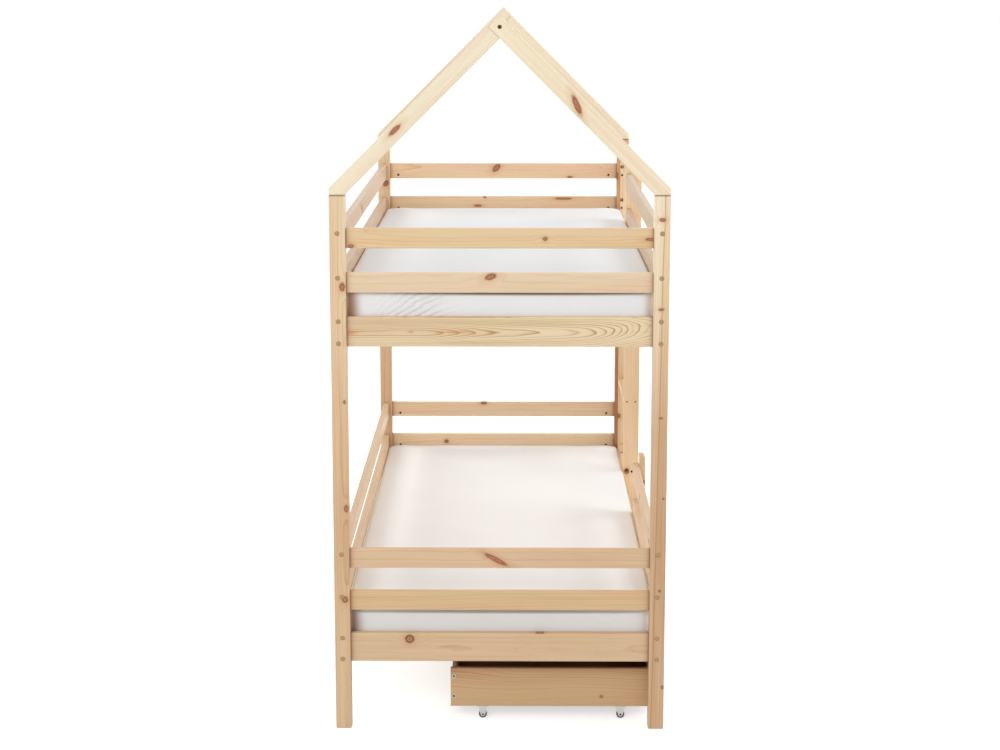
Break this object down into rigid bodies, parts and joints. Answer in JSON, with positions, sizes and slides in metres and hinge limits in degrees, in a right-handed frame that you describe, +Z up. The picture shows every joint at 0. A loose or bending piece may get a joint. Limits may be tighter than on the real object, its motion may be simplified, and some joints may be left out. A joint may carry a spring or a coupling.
{
  "type": "bunk bed",
  "caption": "House-shaped bunk bed in solid pine with a gabled frame at each end, a fixed ladder, guard rails, mattresses and drawers on castors under the lower bunk.",
  "frame": {"origin": "on the floor, under the middle of the whole outline, ladder included", "axes": "+Z up; -Y towards the front end, which faces the camera; +X towards the side with the ladder and the drawer fronts"},
  "size_m": [1.005, 2.08, 2.113],
  "materials": {
    "pine": "planed solid pine with a clear satin lacquer, light straw yellow with brown knots",
    "pine_inner": "planed pine boards of the drawers and the slatted bases, a little darker than the frame",
    "hardboard": "thin brown hardboard of the drawers' bottoms",
    "ticking": "smooth white cotton ticking over foam",
    "castor_wheel": "grey moulded plastic"
  },
  "bodies": {
    "bed": {"post_front_left": "pine", "post_front_right": "pine", "post_rear_left": "pine", "post_rear_right": "pine", "rafter_front_left": "pine", "rafter_front_right": "pine", "rafter_rear_left": "pine", "rafter_rear_right": "pine", "lower_front_rail": "pine", "lower_front_guard_low": "pine", "lower_front_guard_high": "pine", "lower_rear_rail": "pine", "lower_rear_guard_low": "pine", "lower_rear_guard_high": "pine", "lower_left_rail": "pine", "lower_left_guard_low": "pine", "lower_left_guard_high": "pine", "lower_right_rail": "pine", "lower_right_guard_low": "pine", "lower_right_guard_high": "pine", "upper_front_rail": "pine", "upper_front_guard_low": "pine", "upper_front_guard_high": "pine", "upper_rear_rail": "pine", "upper_rear_guard_low": "pine", "upper_rear_guard_high": "pine", "upper_left_rail": "pine", "upper_left_guard_low": "pine", "upper_left_guard_high": "pine", "upper_right_rail": "pine", "upper_right_guard_low": "pine", "upper_right_guard_high": "pine", "lower_guard_batten": "pine", "ladder_stile_near": "pine", "ladder_stile_far": "pine", "ladder_tread_1": "pine", "ladder_tread_2": "pine", "ladder_tread_3": "pine", "lower_slat_base": "pine_inner", "upper_slat_base": "pine_inner", "lower_mattress": "ticking", "upper_mattress": "ticking"},
    "front_drawer": {"front_drawer_front": "pine", "front_drawer_back": "pine_inner", "front_drawer_side_near": "pine_inner", "front_drawer_side_far": "pine_inner", "front_drawer_bottom": "hardboard"},
    "front_drawer_wheel_near_rear": {"front_drawer_wheel_near_rear": "castor_wheel"},
    "front_drawer_wheel_near_front": {"front_drawer_wheel_near_front": "castor_wheel"},
    "front_drawer_wheel_far_rear": {"front_drawer_wheel_far_rear": "castor_wheel"},
    "front_drawer_wheel_far_front": {"front_drawer_wheel_far_front": "castor_wheel"},
    "rear_drawer": {"rear_drawer_front": "pine", "rear_drawer_back": "pine_inner", "rear_drawer_side_near": "pine_inner", "rear_drawer_side_far": "pine_inner", "rear_drawer_bottom": "hardboard"},
    "rear_drawer_wheel_near_rear": {"rear_drawer_wheel_near_rear": "castor_wheel"},
    "rear_drawer_wheel_near_front": {"rear_drawer_wheel_near_front": "castor_wheel"},
    "rear_drawer_wheel_far_rear": {"rear_drawer_wheel_far_rear": "castor_wheel"},
    "rear_drawer_wheel_far_front": {"rear_drawer_wheel_far_front": "castor_wheel"}
  },
  "joints": [
    {"name": "front_drawer_slide", "type": "slide", "parent": "bed", "child": "front_drawer", "axis": [1, 0, 0], "range_m": [0, 0.6]},
    {"name": "front_drawer_wheel_near_rear_spin", "type": "hinge", "parent": "front_drawer", "child": "front_drawer_wheel_near_rear", "pos_m": [-0.064, -0.9475, 0.0125], "axis": [0, 1, 0], "continuous": true},
    {"name": "front_drawer_wheel_near_front_spin", "type": "hinge", "parent": "front_drawer", "child": "front_drawer_wheel_near_front", "pos_m": [0.3535, -0.9475, 0.0125], "axis": [0, 1, 0], "continuous": true},
    {"name": "front_drawer_wheel_far_rear_spin", "type": "hinge", "parent": "front_drawer", "child": "front_drawer_wheel_far_rear", "pos_m": [-0.064, -0.2435, 0.0125], "axis": [0, 1, 0], "continuous": true},
    {"name": "front_drawer_wheel_far_front_spin", "type": "hinge", "parent": "front_drawer", "child": "front_drawer_wheel_far_front", "pos_m": [0.3535, -0.2435, 0.0125], "axis": [0, 1, 0], "continuous": true},
    {"name": "rear_drawer_slide", "type": "slide", "parent": "bed", "child": "rear_drawer", "axis": [1, 0, 0], "range_m": [0, 0.6]},
    {"name": "rear_drawer_wheel_near_rear_spin", "type": "hinge", "parent": "rear_drawer", "child": "rear_drawer_wheel_near_rear", "pos_m": [-0.064, -0.1545, 0.0125], "axis": [0, 1, 0], "continuous": true},
    {"name": "rear_drawer_wheel_near_front_spin", "type": "hinge", "parent": "rear_drawer", "child": "rear_drawer_wheel_near_front", "pos_m": [0.3535, -0.1545, 0.0125], "axis": [0, 1, 0], "continuous": true},
    {"name": "rear_drawer_wheel_far_rear_spin", "type": "hinge", "parent": "rear_drawer", "child": "rear_drawer_wheel_far_rear", "pos_m": [-0.064, 0.5495, 0.0125], "axis": [0, 1, 0], "continuous": true},
    {"name": "rear_drawer_wheel_far_front_spin", "type": "hinge", "parent": "rear_drawer", "child": "rear_drawer_wheel_far_front", "pos_m": [0.3535, 0.5495, 0.0125], "axis": [0, 1, 0], "continuous": true}
  ],
  "couplings": [
    {"joint": "front_drawer_wheel_near_rear_spin", "follows": "front_drawer_slide", "rad_per_m": 80},
    {"joint": "front_drawer_wheel_near_front_spin", "follows": "front_drawer_slide", "rad_per_m": 80},
    {"joint": "front_drawer_wheel_far_rear_spin", "follows": "front_drawer_slide", "rad_per_m": 80},
    {"joint": "front_drawer_wheel_far_front_spin", "follows": "front_drawer_slide", "rad_per_m": 80},
    {"joint": "rear_drawer_wheel_near_rear_spin", "follows": "rear_drawer_slide", "rad_per_m": 80},
    {"joint": "rear_drawer_wheel_near_front_spin", "follows": "rear_drawer_slide", "rad_per_m": 80},
    {"joint": "rear_drawer_wheel_far_rear_spin", "follows": "rear_drawer_slide", "rad_per_m": 80},
    {"joint": "rear_drawer_wheel_far_front_spin", "follows": "rear_drawer_slide", "rad_per_m": 80}
  ]
}
